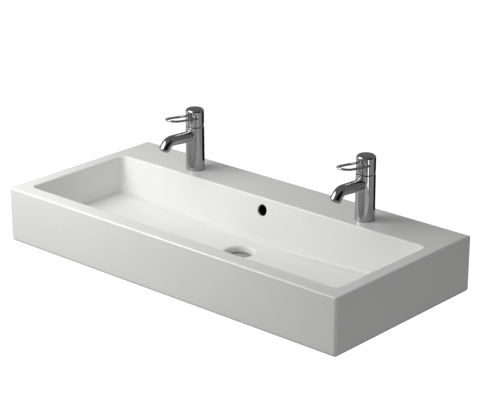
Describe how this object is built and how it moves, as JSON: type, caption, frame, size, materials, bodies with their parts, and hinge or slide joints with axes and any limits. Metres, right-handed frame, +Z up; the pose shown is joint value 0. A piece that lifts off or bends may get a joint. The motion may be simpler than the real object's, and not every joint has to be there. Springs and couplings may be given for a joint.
{
  "type": "wall-hung hand basin",
  "caption": "Wide wall-hung ceramic basin with a sunk rectangular bowl, a tap ledge with chrome single-lever mixers with loop handles, an overflow hole and a push-open waste.",
  "frame": {"origin": "on the wall plane at the back of the basin, midway between the two wall-fixing holes", "axes": "+X along the basin's width, +Y from the user towards the wall, +Z up"},
  "size_m": [1, 0.47, 0.354],
  "materials": {
    "glazed_ceramic": "white glossy glaze",
    "chrome": "polished chrome plating",
    "brass": "turned, unplated",
    "steel": "zinc plated",
    "rubber": "matt moulded",
    "disc_ceramic": "lapped alumina",
    "cartridge_plastic": "moulded acetal",
    "button_plastic": "metallised plastic"
  },
  "bodies": {
    "root": {"basin": "glazed_ceramic", "waste_body": "chrome", "waste_top_seal": "rubber", "waste_lower_seal": "rubber", "waste_nut": "brass", "click_cartridge": "cartridge_plastic", "left_mixer_body": "chrome", "left_cover_ring": "chrome", "left_aerator_housing": "chrome", "left_cartridge_nut": "brass", "left_fixing_nut": "brass", "left_fixing_stud": "steel", "left_clamp_plate": "steel", "left_base_gasket": "rubber", "left_cartridge_seal": "rubber", "left_clamp_gasket": "rubber", "left_aerator_seal": "rubber", "left_fixed_disc": "disc_ceramic", "left_cartridge_base": "cartridge_plastic", "left_cartridge_housing": "cartridge_plastic", "left_aerator_insert": "cartridge_plastic", "right_mixer_body": "chrome", "right_cover_ring": "chrome", "right_aerator_housing": "chrome", "right_cartridge_nut": "brass", "right_fixing_nut": "brass", "right_fixing_stud": "steel", "right_clamp_plate": "steel", "right_base_gasket": "rubber", "right_cartridge_seal": "rubber", "right_clamp_gasket": "rubber", "right_aerator_seal": "rubber", "right_fixed_disc": "disc_ceramic", "right_cartridge_base": "cartridge_plastic", "right_cartridge_housing": "cartridge_plastic", "right_aerator_insert": "cartridge_plastic"},
    "plug": {"waste_plug": "chrome", "plug_seal": "rubber", "plug_stem": "brass"},
    "left_turner": {"left_turning_collar": "cartridge_plastic", "left_spindle_pin": "steel"},
    "left_lever": {"left_spindle": "brass", "left_handle_cap": "chrome", "left_lever_loop": "chrome", "left_grub_screw": "steel", "left_index_plug": "button_plastic"},
    "left_disc": {"left_moving_disc": "disc_ceramic", "left_disc_carrier": "cartridge_plastic"},
    "right_turner": {"right_turning_collar": "cartridge_plastic", "right_spindle_pin": "steel"},
    "right_lever": {"right_spindle": "brass", "right_handle_cap": "chrome", "right_lever_loop": "chrome", "right_grub_screw": "steel", "right_index_plug": "button_plastic"},
    "right_disc": {"right_moving_disc": "disc_ceramic", "right_disc_carrier": "cartridge_plastic"}
  },
  "joints": [
    {"name": "plug_lift", "type": "slide", "parent": "root", "child": "plug", "axis": [0, 0, 1], "range_m": [0, 0.01]},
    {"name": "left_turn", "type": "hinge", "parent": "root", "child": "left_turner", "pos_m": [-0.263, -0.075, 0.16745], "axis": [0, 0, 1], "range_deg": [-50, 50]},
    {"name": "left_lift", "type": "hinge", "parent": "left_turner", "child": "left_lever", "pos_m": [-0.263, -0.075, 0.16745], "axis": [-1, 0, 0], "range_deg": [0, 20]},
    {"name": "left_disc_slide", "type": "slide", "parent": "left_turner", "child": "left_disc", "axis": [0, -1, 0], "range_m": [0, 0.00463]},
    {"name": "right_turn", "type": "hinge", "parent": "root", "child": "right_turner", "pos_m": [0.263, -0.075, 0.16745], "axis": [0, 0, 1], "range_deg": [-50, 50]},
    {"name": "right_lift", "type": "hinge", "parent": "right_turner", "child": "right_lever", "pos_m": [0.263, -0.075, 0.16745], "axis": [-1, 0, 0], "range_deg": [0, 20]},
    {"name": "right_disc_slide", "type": "slide", "parent": "right_turner", "child": "right_disc", "axis": [0, -1, 0], "range_m": [0, 0.00463]}
  ],
  "couplings": [
    {"joint": "left_disc_slide", "follows": "left_lift", "m_per_rad": 0.013121},
    {"joint": "right_disc_slide", "follows": "right_lift", "m_per_rad": 0.013121}
  ]
}
